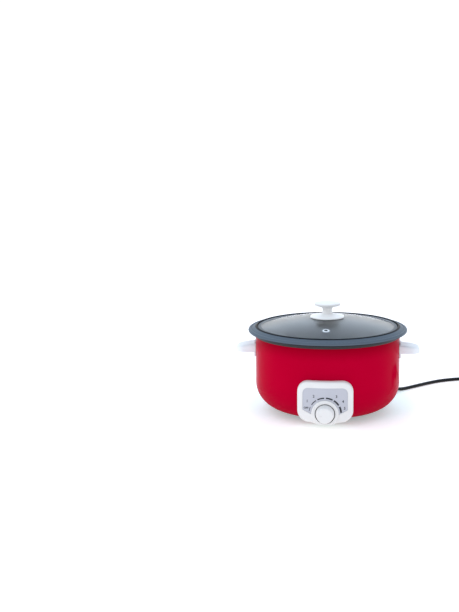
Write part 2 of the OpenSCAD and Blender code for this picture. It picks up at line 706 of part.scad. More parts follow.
module cord_tie() color("black") translate(coil_at) rotate(225) translate([0, 4, 0]) rotate([90, 0, 0])
    linear_extrude(8) difference() {
        round_rect(tie_in - 1, 0.1, tie_out + 1, tie_top + 1, 2.5);
        round_rect(tie_in, 1.1, tie_out, tie_top, 1.5);
    }

module plug_body() color("dimgray") translate(plug_at) rotate(plug_turn) rotate([0, 90, 0]) difference() {
    union() {
        translate([0, 0, 0.2]) cylinder(r1 = 4.6, r2 = 6.4, h = 20);
        translate([0, 0, 16]) cylinder(r1 = 8, r2 = plug_r, h = 14);
        translate([0, 0, 30]) cylinder(r = plug_r, h = 16);
    }
    for (p = plug_pin_places) translate([p[0], p[1], 40]) cylinder(r = p[2], h = 10);
}

// places of the plug's pins on its face, their radii and their lengths
plug_pin_places = [[8, -9.5, 2.5, 15], [8, 9.5, 2.5, 15], [-11.5, 0, 3.5, 19]];
module plug_pins() color("gold") translate(plug_at) rotate(plug_turn) rotate([0, 90, 0])
    for (p = plug_pin_places) translate([p[0], p[1], 40.1]) cylinder(r = p[2] - 0.01, h = p[3] + 6);

outer_shell();
rim_ring();
heat_shield();
heating_plate();
heating_element();
cut_out();
thermal_fuse();
fuse_clip();
support_leg(leg_angles[0]);  // support_leg_1
support_leg(leg_angles[1]);  // support_leg_2
support_leg(leg_angles[2]);  // support_leg_3
support_leg(leg_angles[3]);  // support_leg_4
leg_screws();
base_cover();
cover_screws();
foot(0);  // foot_1
foot(90);  // foot_2
foot(180);  // foot_3
foot(270);  // foot_4
foot_screws();
control_housing();
dial_plate();
dial_collar();
housing_screws();
control_knob();
regulator_shaft();
regulator_body();
regulator_bracket();
handle_left();
handle_right();
handle_screws();
terminal_block();
cord_gland();
gland_nut();
lead_live();
lead_heater();
lead_neutral();
lead_earth();
cord_inner();
core_live();
core_neutral();
core_earth();
cooking_pan();
lid_glass();
lid_band();
vent_grommet();
lid_gasket();
knob_seat();
knob_grip();
lid_screw();
lid_washer();
cord_lead();
cord_coil();
cord_tail();
cord_tie();
plug_body();
plug_pins();
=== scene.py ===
import bmesh
import bpy
from math import cos, pi, radians, sin, sqrt, tan
from mathutils import Matrix, Quaternion, Vector


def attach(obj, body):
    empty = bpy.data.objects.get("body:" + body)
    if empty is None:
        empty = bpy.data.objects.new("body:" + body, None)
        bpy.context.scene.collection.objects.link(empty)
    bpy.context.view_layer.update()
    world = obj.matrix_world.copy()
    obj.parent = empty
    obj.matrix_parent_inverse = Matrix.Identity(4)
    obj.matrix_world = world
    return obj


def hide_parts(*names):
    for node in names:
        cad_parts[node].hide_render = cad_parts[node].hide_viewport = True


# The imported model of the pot: base, control dial, lift-out pan and lift-off lid.
# The camera stands in front of the control panel and looks down at it by about
# ten degrees, with the pot low and right in its upright frame.
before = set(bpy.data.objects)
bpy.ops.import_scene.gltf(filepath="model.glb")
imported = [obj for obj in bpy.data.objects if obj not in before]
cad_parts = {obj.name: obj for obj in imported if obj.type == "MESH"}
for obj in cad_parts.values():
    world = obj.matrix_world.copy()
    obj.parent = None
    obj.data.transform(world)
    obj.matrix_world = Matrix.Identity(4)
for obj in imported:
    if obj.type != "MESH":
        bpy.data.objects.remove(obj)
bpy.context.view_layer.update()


def placed(name, data):
    """A new object in the scene."""
    thing = bpy.data.objects.new(name, data)
    bpy.context.scene.collection.objects.link(thing)
    return thing


camera = placed("camera", bpy.data.cameras.new("camera"))
camera.location = (0.0462, -1.831, 0.5142)
aim = Vector((-0.12029, 0.97758, -0.17283)).to_track_quat("-Z", "Y")
roll = Quaternion((0, 0, 1), radians(-0.84))
camera.rotation_euler = (aim @ roll).to_euler()
camera.data.lens = 59.92
camera.data.clip_end = 60
bpy.context.scene.camera = camera


# The mains cord is a round black rubber lead of 6.6 mm. It leaves low at the
# back right, drops to the table and runs off to the right, where its spare
# length is wound in a coil of two layers with the plug beside it.
class Value:
    """An output of a finish's nodes. Sums on it add Math nodes."""

    def __init__(self, finish, socket):
        self.finish = finish
        self.socket = socket

    def __getitem__(self, name):
        return Value(self.finish, self.socket.node.outputs[name])

    def calc(self, operation, *values):
        return self.finish.node("Math", {"operation": operation}, dict(enumerate(values)))

    def __add__(self, other):
        return self.calc("ADD", self, other)

    def __sub__(self, other):
        return self.calc("SUBTRACT", self, other)

    def __rsub__(self, other):
        return self.calc("SUBTRACT", other, self)

    def __mul__(self, other):
        return self.calc("MULTIPLY", self, other)

    def __pow__(self, other):
        return self.calc("POWER", self, other)

    def root(self):
        return self.calc("SQRT", self)

    def wave(self):
        return self.calc("SINE", self)

    def size(self):
        return self.calc("ABSOLUTE", self)

    def most(self, other):
        return self.calc("MAXIMUM", self, other)

    def above(self, edge, soft):
        """A mask that rises from 0 to 1 across the edge."""
        return self.finish.node("MapRange", {"interpolation_type": "SMOOTHSTEP"},
                                {"Value": self, "From Min": edge - soft, "From Max": edge + soft})

    def spread(self, low, high):
        """The value's 0 to 1 spread over low to high."""
        return self.finish.node("MapRange", {}, {"Value": self, "To Min": low, "To Max": high})


MIX_MASK, MIX_A, MIX_B, MIX_COLOUR = 0, 6, 7, 2


class Finish:
    """A material with one Principled shader, whose constants are set on its sockets."""

    def __init__(self, name, **constants):
        self.material = bpy.data.materials.new(name)
        self.material.use_nodes = True
        self.tree = self.material.node_tree
        self.shader = self.tree.nodes["Principled BSDF"]
        for key, value in constants.items():
            self.shader.inputs[key.replace("_", " ")].default_value = value
        self.place = self.node("TexCoord", {}, {})["Object"]

    def node(self, kind, settings, sockets):
        """A new node with its settings and inputs, given back as its first output in use."""
        node = self.tree.nodes.new("ShaderNode" + kind)
        for key, value in settings.items():
            setattr(node, key, value)
        for key, value in sockets.items():
            if isinstance(value, Value):
                self.tree.links.new(value.socket, node.inputs[key])
            else:
                node.inputs[key].default_value = value
        return Value(self, next(s for s in node.outputs if s.enabled))

    def axes(self):
        """The place's x, y and z."""
        parts = self.node("SeparateXYZ", {}, {0: self.place})
        return parts["X"], parts["Y"], parts["Z"]

    def radius(self, centre_y=0):
        """The distance from an upright line, which is the pot's axis or behind or before it."""
        x, y, z = self.axes()
        return (x * x + (y - centre_y) ** 2).root()

    def noise(self, scale, detail=2, rough=0.5, place=None):
        return self.node("TexNoise", {}, {"Vector": place or self.place, "Scale": scale,
                                          "Detail": detail, "Roughness": rough})

    def blend(self, mask, a, b):
        """Colour a where the mask is 0 and b where it is 1."""
        a, b = (c if isinstance(c, Value) else (*c, 1) for c in (a, b))
        mixed = self.node("Mix", {"data_type": "RGBA"}, {MIX_MASK: mask, MIX_A: a, MIX_B: b})
        return Value(self, mixed.socket.node.outputs[MIX_COLOUR])

    def stretched(self, x, y, z):
        return self.node("Mapping", {}, {"Vector": self.place, "Scale": (x, y, z)})

    def bump(self, height, distance, strength=1.0):
        return self.node("Bump", {}, {"Height": height, "Distance": distance, "Strength": strength})

    def feed(self, **links):
        for key, value in links.items():
            self.tree.links.new(value.socket, self.shader.inputs[key.replace("_", " ")])


def wear(finish, *nodes):
    """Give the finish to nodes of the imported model."""
    for name in nodes:
        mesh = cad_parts[name].data
        mesh.materials.clear()
        mesh.materials.append(finish.material)


MM = 0.001
CORD = 6.6
GLAND = Vector((85.4903, 81.1302, 0))
GLAND_HIGH = 21
AWAY = Vector((cos(radians(43.5)), sin(radians(43.5)), 0))
LAID = 3.4
COIL = GLAND + Vector((242, 107, 0))
COIL_R = 42
COIL_PITCH = CORD + 0.8
COIL_LOW = CORD / 2 + 1.4
LAYER = CORD + 0.6
COIL_HIGH = COIL_LOW + LAYER
WOUND_IN = 1.375
CLIMB = 0.5
STEPS_A_TURN = 48
COIL_STEPS = 156
PLUG_PLACE = Vector((COIL_R - 44, -86, 19))


def along_cord(distance, high):
    return GLAND + distance * AWAY + Vector((0, 0, high))


def coil_point(turn):
    """The coil's line: inwards in the lower layer, a climb, and outwards in the upper layer."""
    past = turn - WOUND_IN
    climb = min(max(past / CLIMB, 0), 1)
    wide = -past if past < 0 else past - CLIMB if past > CLIMB else -past + past * past / CLIMB
    radius = COIL_R - COIL_PITCH * WOUND_IN + COIL_PITCH * wide
    angle = radians(90 - 360 * turn)
    high = COIL_LOW + LAYER * climb * climb * (3 - 2 * climb)
    return COIL + Vector((radius * cos(angle), radius * sin(angle), high))


def smooth_through(points, steps):
    """A smooth line through the points, with steps between each two."""
    line = []
    for i in range(len(points) - 1):
        a, b, c, d = (points[min(max(k, 0), len(points) - 1)] for k in (i - 1, i, i + 1, i + 2))
        for k in range(steps):
            t = k / steps
            line.append(0.5 * (2 * b + (c - a) * t + (2 * a - 5 * b + 4 * c - d) * t * t
                               + (3 * b - a - 3 * c + d) * t ** 3))
    return line + [points[-1]]


lead = [along_cord(*p) for p in ((27.1, GLAND_HIGH), (34, GLAND_HIGH - 0.6), (43, GLAND_HIGH - 3.5), (56, 10),
                                 (70, 5), (88, LAID), (120, LAID), (150, LAID))]
lead += [GLAND + Vector(p) for p in ((134, 124, LAID), (163, 139, LAID), (196, 147.5, LAID + 0.4))]
lead += [COIL + Vector(p) for p in ((-20, COIL_R + 0.3, COIL_LOW - 0.2), (-CORD, COIL_R, COIL_LOW))]
coil = [coil_point(i / STEPS_A_TURN) for i in range(COIL_STEPS + 1)]
tail = [COIL + Vector(p) for p in ((COIL_R, -CORD, COIL_HIGH), (COIL_R, -14, COIL_HIGH),
                                   (COIL_R - 2, -36, COIL_HIGH + 2), (COIL_R - 12, -58, 17),
                                   (COIL_R - 28, -76, 19), PLUG_PLACE)]
route = [p * MM for p in smooth_through(lead, 6) + coil + smooth_through(tail, 6)]
cord_length = sum((b - a).length for a, b in zip(route, route[1:]))
line = bpy.data.curves.new("mains_cord", "CURVE")
line.dimensions = "3D"
line.bevel_depth = CORD / 2 * MM
line.bevel_resolution = 5
line.use_fill_caps = True
spline = line.splines.new("POLY")
spline.points.add(len(route) - 1)
for point, place in zip(spline.points, route):
    point.co = (*place, 1)
mains_cord = placed("mains_cord", line)

cord_rubber = Finish("cord_rubber", IOR=1.3)
mottle = cord_rubber.noise(140, 3)
grain = cord_rubber.noise(2600, 2)
black = cord_rubber.blend(mottle.above(0.5, 0.2), (0.004, 0.004, 0.005), (0.009, 0.009, 0.01))
cord_rubber.feed(Base_Color=black,
                 Roughness=mottle.spread(0.34, 0.52),
                 Normal=cord_rubber.bump(grain, 0.00008))
mains_cord.data.materials.append(cord_rubber.material)
wear(cord_rubber, "cord_gland", "gland_nut", "cord_inner")
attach(mains_cord, "base")
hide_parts("cord_lead", "cord_coil", "cord_tail")


# The plug is moulded in black plastic with a ribbed neck and three round pins. A
# strap of the same plastic goes round the three turns of the coil.
def begin(add, name, **sizes):
    """A new primitive as the only thing selected, in edit mode if it is a mesh."""
    if bpy.context.mode != "OBJECT":
        bpy.ops.object.mode_set(mode="OBJECT")
    bpy.ops.object.select_all(action="DESELECT")
    add(**sizes)
    piece = bpy.context.object
    piece.name = piece.data.name = name
    if piece.type == "MESH":
        bpy.ops.object.mode_set(mode="EDIT")
        bpy.ops.mesh.select_mode(type="VERT")
    return piece


def one_point(name, place):
    """A new mesh of a single selected point, to extrude from."""
    piece = begin(bpy.ops.mesh.primitive_plane_add, name, size=MM)
    bpy.ops.mesh.select_all(action="SELECT")
    bpy.ops.mesh.merge(type="CENTER")
    bpy.ops.transform.translate(value=place)
    return piece


def extrude(way):
    """Extrude all of the piece in edit mode and turn its faces outwards."""
    bpy.ops.mesh.select_all(action="SELECT")
    bpy.ops.mesh.extrude_region_move(TRANSFORM_OT_translate={"value": way})
    bpy.ops.mesh.select_all(action="SELECT")
    bpy.ops.mesh.normals_make_consistent(inside=False)


def shift(piece, move):
    """Move each point of the piece to where the rule puts it."""
    mesh = bmesh.from_edit_mesh(piece.data)
    for vert in mesh.verts:
        vert.co = move(vert.co)
    bmesh.update_edit_mesh(piece.data)


def rounded(corners, steps=6):
    """Points along a line whose corners (x, y, radius) are rounded."""
    points = []
    for i, corner in enumerate(corners):
        here = Vector(corner[:2])
        radius = corner[2] if len(corner) > 2 else 0
        if not radius or i in (0, len(corners) - 1):
            points.append(here)
            continue
        a = (Vector(corners[i - 1][:2]) - here).normalized()
        b = (Vector(corners[i + 1][:2]) - here).normalized()
        half = a.angle(b) / 2
        centre = here + (a + b).normalized() * radius / sin(half)
        start = here + a * radius / tan(half) - centre
        turn = (pi - 2 * half) * (-1 if a.x * b.y - a.y * b.x > 0 else 1)
        points += [centre + Matrix.Rotation(turn * k / steps, 2) @ start for k in range(steps + 1)]
    return points


def block(name, corners, start, end, along, steps=8):
    """A block along an axis, whose section is the closed line of rounded corners."""
    points = rounded([corners[-1], *corners, corners[0]], steps)[1:-1]
    piece = begin(bpy.ops.mesh.primitive_circle_add, name, vertices=len(points), radius=1, fill_type="NGON")
    order = {"X": (2, 0, 1), "Y": (0, 2, 1), "Z": (0, 1, 2)}[along]
    mesh = bmesh.from_edit_mesh(piece.data)
    mesh.verts.ensure_lookup_table()
    for vert, point in zip(mesh.verts, points):
        flat = (point.x, point.y, start)
        vert.co = Vector([flat[k] for k in order]) * MM
    bmesh.update_edit_mesh(piece.data)
    run = (0, 0, (end - start) * MM)
    extrude([run[k] for k in order])
    return piece


def cut(piece, tool, operation="DIFFERENCE"):
    """Cut the piece with the tool, or join them or keep what they share, and drop the tool."""
    bpy.ops.object.mode_set(mode="OBJECT")
    bpy.ops.object.select_all(action="DESELECT")
    bpy.context.view_layer.objects.active = piece
    piece.select_set(True)
    step = piece.modifiers.new("cut", "BOOLEAN")
    step.operation = operation
    step.object = tool
    step.solver = "EXACT"
    bpy.ops.object.modifier_apply(modifier="cut")
    bpy.data.objects.remove(tool)
    bpy.ops.object.mode_set(mode="EDIT")


def turned(name, profile, centre, axis=(0, 0, 1), side=(1, 0, 0), steps=96):
    """A piece turned on a lathe: its profile is (radius, height) along the axis."""
    axis, side, centre = Vector(axis), Vector(side), Vector(centre) * MM
    places = [centre + (side * p[0] + axis * p[1]) * MM for p in profile]
    piece = one_point(name, places[0])
    for a, b in zip(places, places[1:]):
        bpy.ops.mesh.extrude_vertices_move(TRANSFORM_OT_translate={"value": b - a})
    bpy.ops.mesh.select_all(action="SELECT")
    bpy.ops.mesh.spin(steps=steps, angle=2 * pi, center=centre, axis=axis)
    bpy.ops.mesh.select_all(action="SELECT")
    bpy.ops.mesh.remove_doubles(threshold=1e-6)
    bpy.ops.mesh.normals_make_consistent(inside=False)
    return piece


def done(piece, finish, slot, body, *nodes, angle=30):
    """Shade a finished piece and put it in the place of its nodes."""
    bpy.ops.object.mode_set(mode="OBJECT")
    bpy.ops.object.shade_smooth_by_angle(angle=radians(angle))
    piece.data.materials.clear()
    piece.data.materials.append(finish.material)
    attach(piece, body)
    if nodes:
        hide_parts(*nodes)


black_plastic = Finish("black_plastic", IOR=1.47)
grain = black_plastic.noise(1500, 3, 0.6)
mottle = black_plastic.noise(50, 3)
black = black_plastic.blend(mottle.above(0.5, 0.25), (0.011, 0.011, 0.012), (0.02, 0.02, 0.021))
black_plastic.feed(Base_Color=black,
                   Roughness=mottle.spread(0.42, 0.58),
                   Normal=black_plastic.bump(grain, 0.00012, 0.6))

PLUG_WAY = Vector((cos(radians(212)), sin(radians(212)), 0))
PLUG_LIFT = Vector((0, 0, 0.05))
ribs = [(5.1 + 0.1 * k + 0.55 * (k % 2), 1 + k * 1.5, 0.5) for k in range(11)]
plug_line = rounded([(0, 0.2), (4.4, 0.2, 0.6), *ribs, (8, 17.5, 1.5), (17.6, 28.5, 5), (19, 35, 6),
                     (19, 46, 1.2), (0, 46)], 5)
plug = turned("cord_plug", plug_line, COIL + PLUG_PLACE + PLUG_LIFT, PLUG_WAY, (0, 0, 1))
done(plug, black_plastic, "black_plastic", "base", "plug_body")

STRAP_TURN = radians(225)
crossing = [Vector((37.4, 4.7)), Vector((37.4, 11.9)), Vector((30.9, 8.3))]
loops = []
for name, reach, half_width in (("cord_strap", 4.4, 4), ("strap_hole", 3.45, 6)):
    corners = []
    for k, here in enumerate(crossing):
        a = (crossing[k - 1] - here).normalized()
        b = (crossing[k - 2] - here).normalized()
        corners.append((*(here - (a + b).normalized() * reach / sin(a.angle(b) / 2)), reach))
    loops.append(block(name, corners, -half_width, half_width, "Y"))
strap, strap_hole = loops
cut(strap, strap_hole)
seat = Matrix.Translation(COIL * MM) @ Matrix.Rotation(STRAP_TURN, 4, "Z")
shift(strap, lambda p: seat @ p)
done(strap, black_plastic, "black_plastic", "base", "cord_tie")

# The base's shell is a deep-drawn steel bowl with a rounded bottom corner. It is
# painted a deep red with a fine orange peel. Painted shade darkens the red under the
# flange and at the bottom corner, where the paint is also duller.
red_paint = Finish("red_paint", IOR=1.06, Specular_Tint=(1, 0.14, 0.44, 1))
tone = red_paint.noise(9, 3)
peel = red_paint.noise(420, 2)
dust = red_paint.noise(60, 5, 0.65)
x, y, z = red_paint.axes()
# Painted shade: the red is darkened under the flange and at the bottom corner, which is also rougher.
painted_flange_shadow = z.above(0.128, 0.014)
corner_shade_and_dullness = 1 - z.above(0.045, 0.025)
coat = red_paint.blend(tone.above(0.5, 0.3), (0.47, 0.0, 0.021), (0.5, 0.0, 0.024))
coat = red_paint.blend(corner_shade_and_dullness, coat, (0.42, 0.0, 0.02))
coat = red_paint.blend(painted_flange_shadow, coat, (0.34, 0.0, 0.013))
red_paint.feed(Base_Color=coat,
               Roughness=dust.spread(0.06, 0.14) + corner_shade_and_dullness * 0.4,
               Normal=red_paint.bump(peel, 0.00006, 0.3))
wear(red_paint, "outer_shell")

# The black pieces of the base: the moulded rim ring over the shell's edge and
# the feet, and the enamelled sheet of the heat shield and the bottom cover.
wear(black_plastic, "rim_ring", "foot_1", "foot_2", "foot_3", "foot_4")

black_enamel = Finish("black_enamel", IOR=1.5)
speck = black_enamel.noise(900, 2)
cloud = black_enamel.noise(25, 4)
black = black_enamel.blend(speck.above(0.68, 0.04), (0.012, 0.012, 0.013), (0.06, 0.06, 0.062))
black_enamel.feed(Base_Color=black,
                  Roughness=cloud.spread(0.25, 0.45),
                  Normal=black_enamel.bump(speck, 0.0001, 0.3))
wear(black_enamel, "heat_shield", "base_cover")

# The heater: a cast aluminium plate with turned rings, and a steel tube element
# brazed into its underside. Legs, brackets and screws are in the same steel.
cast_aluminium = Finish("cast_aluminium", Metallic=1)
rings = (cast_aluminium.radius() * 5200).wave()
blotch = cast_aluminium.noise(35, 4)
grey = cast_aluminium.blend(blotch.above(0.5, 0.3), (0.5, 0.5, 0.51), (0.63, 0.63, 0.64))
cast_aluminium.feed(Base_Color=grey,
                    Roughness=blotch.spread(0.32, 0.5),
                    Normal=cast_aluminium.bump(rings, 0.00006, 0.5))
wear(cast_aluminium, "heating_plate")

steel = Finish("steel", Metallic=1)
streak = steel.noise(60, 4, 0.6, steel.stretched(1, 1, 14))
steel.feed(Base_Color=steel.blend(streak.above(0.5, 0.3), (0.48, 0.48, 0.49), (0.6, 0.6, 0.61)),
           Roughness=streak.spread(0.26, 0.42),
           Normal=steel.bump(steel.noise(1200, 2), 0.00003, 0.4))
wear(steel, "heating_element", "fuse_clip", "support_leg_1", "support_leg_2", "support_leg_3",
     "support_leg_4", "leg_screws", "cover_screws", "foot_screws", "housing_screws", "regulator_shaft",
     "regulator_bracket", "handle_screws", "lid_screw")

# Inside the base: the regulator, the terminal block and the cut-out in ivory
# plastic, the one-shot fuse in brass like the plug's pins, and leads in coloured
# sheaths.
ivory_plastic = Finish("ivory_plastic", IOR=1.5)
mottle = ivory_plastic.noise(80, 3)
ivory_plastic.feed(Base_Color=ivory_plastic.blend(mottle, (0.62, 0.56, 0.42), (0.72, 0.67, 0.53)),
                   Roughness=mottle.spread(0.4, 0.6),
                   Normal=ivory_plastic.bump(ivory_plastic.noise(1400, 2), 0.00008, 0.5))
wear(ivory_plastic, "regulator_body", "terminal_block", "cut_out")
brass = Finish("brass", Metallic=1)
tarnish = brass.noise(120, 4)
brass.feed(Base_Color=brass.blend(tarnish.above(0.5, 0.25), (0.62, 0.43, 0.15), (0.75, 0.56, 0.24)),
           Roughness=tarnish.spread(0.22, 0.4))
wear(brass, "plug_pins", "thermal_fuse")


def sheath(name, low, high, *nodes):
    """A lead's sheath, mottled between two colours."""
    finish = Finish(name, IOR=1.48)
    mottle = finish.noise(160, 3)
    finish.feed(Base_Color=finish.blend(mottle, low, high), Roughness=mottle.spread(0.4, 0.55))
    wear(finish, *nodes)


sheath("brown_lead", (0.1, 0.035, 0.012), (0.16, 0.06, 0.022), "lead_live", "lead_heater", "core_live")
sheath("blue_lead", (0.02, 0.07, 0.3), (0.035, 0.11, 0.4), "lead_neutral", "core_neutral")
sheath("green_lead", (0.05, 0.28, 0.05), (0.55, 0.55, 0.04), "lead_earth", "core_earth")

# The control housing is moulded in white plastic. Its face follows the shell's
# curve, its front edge is softly rounded, and it has a sunk field for the dial
# plate, a round pocket for the collar and a bore for the hub.
FACE = 142
DIAL = (0, 0, 29.5)
FRONT = (0, -1, 0)
LOW_EDGE_R = 130
STRIP = 0.004


def round_edges(piece, width, segments, test):
    """Round the piece's edges for which the test holds."""
    bpy.ops.mesh.select_mode(type="EDGE")
    bpy.ops.mesh.select_all(action="DESELECT")
    mesh = bmesh.from_edit_mesh(piece.data)
    for edge in mesh.edges:
        if test(edge):
            edge.select_set(True)
    bmesh.update_edit_mesh(piece.data)
    bpy.ops.mesh.bevel(offset=width * MM, segments=segments, profile=0.5, affect="EDGES")


def rod(radius, start, end, place, along):
    """A round bar for drilling, along the axis from start to end."""
    axis = Vector(along)
    return turned("rod", [(0, start), (radius, start), (radius, end), (0, end)], place, axis,
                  axis.orthogonal().normalized(), 48)


def bent(piece):
    """Bend a flat front piece round the pot's axis, after slicing it into upright strips."""
    for step in range(-11, 12):
        bpy.ops.mesh.select_all(action="SELECT")
        bpy.ops.mesh.bisect(plane_co=(step * STRIP, 0, 0), plane_no=(1, 0, 0))
    shift(piece, lambda p: Vector((p.x, -sqrt(p.y ** 2 - p.x ** 2), p.z)))
    return piece


def panel(name, inset, front, back):
    """A block from front to back with the panel's outline, drawn in by the inset."""
    low = [(across, 10.5 + inset + LOW_EDGE_R - sqrt(LOW_EDGE_R ** 2 - across * across))
           for across in (-26, -18, -9, 0, 9, 18, 26)]
    wide, top, side_low = 48 - inset, 85 - inset, 14.5 + inset
    turn = 20 - inset
    return block(name, [(-wide, top, turn), (-wide, side_low, turn - 1), *low, (wide, side_low, turn - 1),
                        (wide, top, turn)], front, back, "Y")


# Painted light: the white is lighter on the handles and on the lid knob's foot and
# grip than on the panel, most on the foot, which sits in the grip's shade. A ring
# of painted shade darkens the gap round the dial's knob.
white_plastic = Finish("white_plastic", IOR=1.3)
tone = white_plastic.noise(30, 2)
skin = white_plastic.noise(700, 2)
x, y, z = white_plastic.axes()
from_dial = (x * x + (z - DIAL[2] * MM) ** 2).root()
# Painted shade: a dark ring where the gap round the dial's knob lies in shade.
gap_shade_ring = 1 - (from_dial - 0.0168).size().above(0.0007, 0.0002)
gap_shade_depth = 1 - (y + 0.1415).size().above(0.0026, 0.0002)
# Painted light: lighter whites on the lid knob's grip and foot and on the handles than on the panel.
painted_lit_grip = z.above(0.179, 0.001)
painted_lit_foot = z.above(0.165, 0.001) * (1 - painted_lit_grip)
handles = x.size().above(0.1305, 0.001)
white = white_plastic.blend(tone.above(0.5, 0.3), (0.8, 0.778, 0.755), (0.83, 0.808, 0.785))
white = white_plastic.blend(painted_lit_foot, white, (0.97, 0.955, 0.935))
white = white_plastic.blend(handles, white, (0.85, 0.86, 0.875))
white = white_plastic.blend(painted_lit_grip, white, (0.85, 0.83, 0.81))
white_plastic.feed(Base_Color=white_plastic.blend(gap_shade_ring * gap_shade_depth, white, (0.05, 0.055, 0.065)),
                   Roughness=tone.spread(0.26, 0.36),
                   Normal=white_plastic.bump(skin, 0.00003, 0.3))

BOSSES = (-36, 36)
BOSS_HIGH = 62
housing = panel("panel_housing", 0, -FACE, -99)
round_edges(housing, 3.6, 5, lambda e: all(v.co.y < -0.1419 for v in e.verts))
cut(housing, block("field", [(-38.65, 74.15, 10), (-38.65, 34.95), (-23.2, 27.45), (23.2, 27.45),
                             (38.65, 34.95), (38.65, 74.15, 10)], -150, 1.5 - FACE, "Y"))
bent(housing)
hollow = bent(panel("hollow", 2.6, 3 - FACE, -98))
cut(hollow, rod(26, 135.5, 150, DIAL, FRONT))
for across in BOSSES:
    cut(hollow, rod(4.5, 90, 150, (across, 0, BOSS_HIGH), FRONT))
cut(housing, hollow)
cut(housing, rod(23.6, 139.5, 150, DIAL, FRONT))
cut(housing, rod(8, 90, 150, DIAL, FRONT))
for across in BOSSES:
    cut(housing, rod(2, 90, 134.5, (across, 0, BOSS_HIGH), FRONT))
shell_corner = [(83 + 48.2 * sin(radians(a)), 54 - 48.2 * cos(radians(a))) for a in range(3, 90, 3)]
shell_line = [(0, 5.8), (83, 5.8), *shell_corner, (131.2, 54), (131.2, 150), (0, 150)]
cut(housing, turned("shell_space", shell_line, (0, 0, 0), steps=180))
done(housing, white_plastic, "white_plastic", "base", "control_housing")

# The dial plate is thin grey sheet, bent to the face and sunk in its field. It
# carries the printed heat scale, dashes that grow thicker clockwise, and numbers.
grey_plate = Finish("grey_plate", IOR=1.5, Metallic=0.25)
fleck = grey_plate.noise(1800, 2)
grey_plate.feed(Base_Color=grey_plate.blend(fleck, (0.49, 0.49, 0.535), (0.55, 0.55, 0.595)),
                Roughness=fleck.spread(0.4, 0.55))
wear(grey_plate, "dial_plate")
black_ink = Finish("black_ink", IOR=1.45)
wash = black_ink.noise(900, 3)
black_ink.feed(Base_Color=black_ink.blend(wash, (0.006, 0.007, 0.01), (0.014, 0.015, 0.02)),
               Roughness=wash.spread(0.45, 0.6))
PRINT = FACE - 0.58
INK = 0.05
DASH_R = 27.4


def printed(piece):
    """Lay flat print on the plate's curve, with a little thickness."""
    shift(piece, lambda p: Vector((p.x, -sqrt((PRINT * MM) ** 2 - p.x ** 2), p.z)))
    extrude((0, -INK * MM, 0))
    done(piece, black_ink, "grey_plate", "base")


for start, end, thick in ((-82, -66, 1), (-57, -34, 1.6), (-28, -3, 2.2), (3, 28, 2.6), (33, 58, 2.9),
                          (64, 87, 3.1)):
    way = Vector((sin(radians(start)), 0, cos(radians(start))))
    dash = one_point("heat_dash", (Vector(DIAL) + way * (DASH_R - thick / 2)) * MM)
    bpy.ops.mesh.extrude_vertices_move(TRANSFORM_OT_translate={"value": way * thick * MM})
    bpy.ops.mesh.select_all(action="SELECT")
    bpy.ops.mesh.spin(steps=10, angle=radians(end - start), center=Vector(DIAL) * MM, axis=FRONT)
    printed(dash)
for text, across, high, size in (("OFF", -32.4, 37, 4.6), ("1", -30.6, 48.5, 6.4), ("2", -19.5, 57.5, 6.4),
                                 ("3", 19.5, 57.5, 6.4), ("4", 30.6, 48.5, 6.4), ("5", 33.4, 36.5, 6.4)):
    label = begin(bpy.ops.object.text_add, "label_" + text)
    label.data.body = text
    label.data.size = size * MM
    label.data.align_x = "CENTER"
    label.data.resolution_u = 3
    label.data.offset = 0.15 * MM
    bpy.ops.object.convert(target="MESH")
    label = bpy.context.object
    upright = Matrix.Rotation(radians(90), 4, "X")
    label.data.transform(Matrix.Translation(Vector((across, 0, high)) * MM) @ upright)
    bpy.ops.object.mode_set(mode="EDIT")
    printed(label)

# The collar is a white ring pressed into the housing, and the knob turns inside it.
# The knob is moulded too: tapered, with a rounded front edge and a pointer groove.
collar_line = rounded([(17.2, 141), (17.2, 139.55), (23.5, 139.55), (23.5, 144.6, 1.6), (17.2, 144.6, 0.9),
                       (17.2, 141)])
collar = turned("knob_collar", collar_line, DIAL, FRONT)
cut(collar, panel("trim", 0.3, -150, -130), "INTERSECT")
done(collar, white_plastic, "white_plastic", "base", "dial_collar")
knob_line = rounded([(0, 151.6), (3.02, 151.6), (3.02, 132.2), (6.5, 132.2), (6.5, 140.2), (16.2, 140.2, 0.4),
                     (16.2, 143.5, 2), (13.6, 157.2, 2.6), (0, 157.6)])
knob = turned("dial_knob", knob_line, DIAL, FRONT, steps=128)
cut(knob, block("groove", [(-10.6, 28.95, 0.5), (-4.2, 28.95, 0.5), (-4.2, 30.05, 0.5), (-10.6, 30.05, 0.5)],
                -160, -156.8, "Y"))
done(knob, white_plastic, "white_plastic", "dial", "control_knob")

# The handles are small moulded lugs, hollow from below, with a root plate that
# follows the shell. Screws from inside the shell go into their bosses.
SLOPE = tan(radians(7.5))
SHELL_X = 0.131
CLEAR_X = 0.125
MIDDLE = 0.11


def sloped(piece, high):
    """Let a block's upper side fall away outwards, from its height at the shell."""
    shift(piece, lambda p: Vector((p.x, p.y, p.z if p.z < MIDDLE else high - (p.x - SHELL_X) * SLOPE)))


def free(edge):
    return any(v.co.x > CLEAR_X for v in edge.verts)


